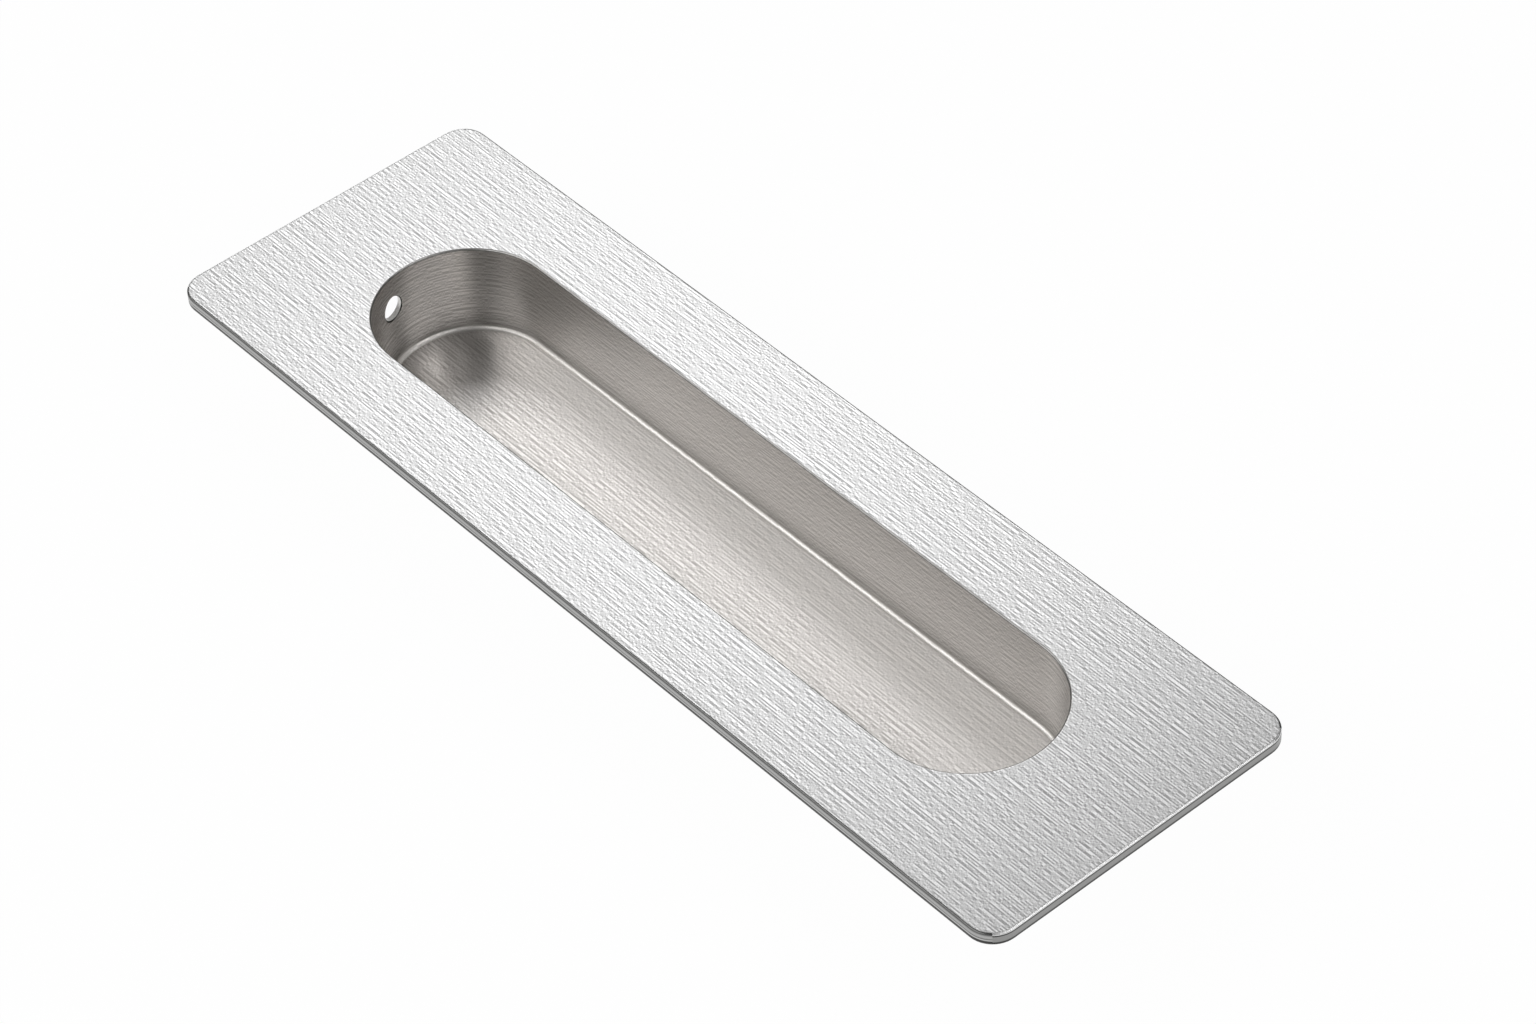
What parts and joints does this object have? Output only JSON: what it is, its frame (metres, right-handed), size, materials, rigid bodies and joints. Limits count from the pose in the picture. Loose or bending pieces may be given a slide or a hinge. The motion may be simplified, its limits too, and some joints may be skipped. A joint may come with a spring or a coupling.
{
  "type": "recessed pull handle",
  "caption": "Flush recessed pull for sliding doors: flat rounded plate with a drawn obround finger cup and end wall screw holes.",
  "frame": {"origin": "centre of the cup's flat underside", "axes": "+X along the plate's length, +Y across it, +Z out of the door through the mouth"},
  "size_m": [0.128, 0.04, 0.0118],
  "materials": {
    "brushed_stainless": "hairline brushed along the plate"
  },
  "bodies": {
    "root": {"recessed_pull": "brushed_stainless"}
  },
  "joints": []
}
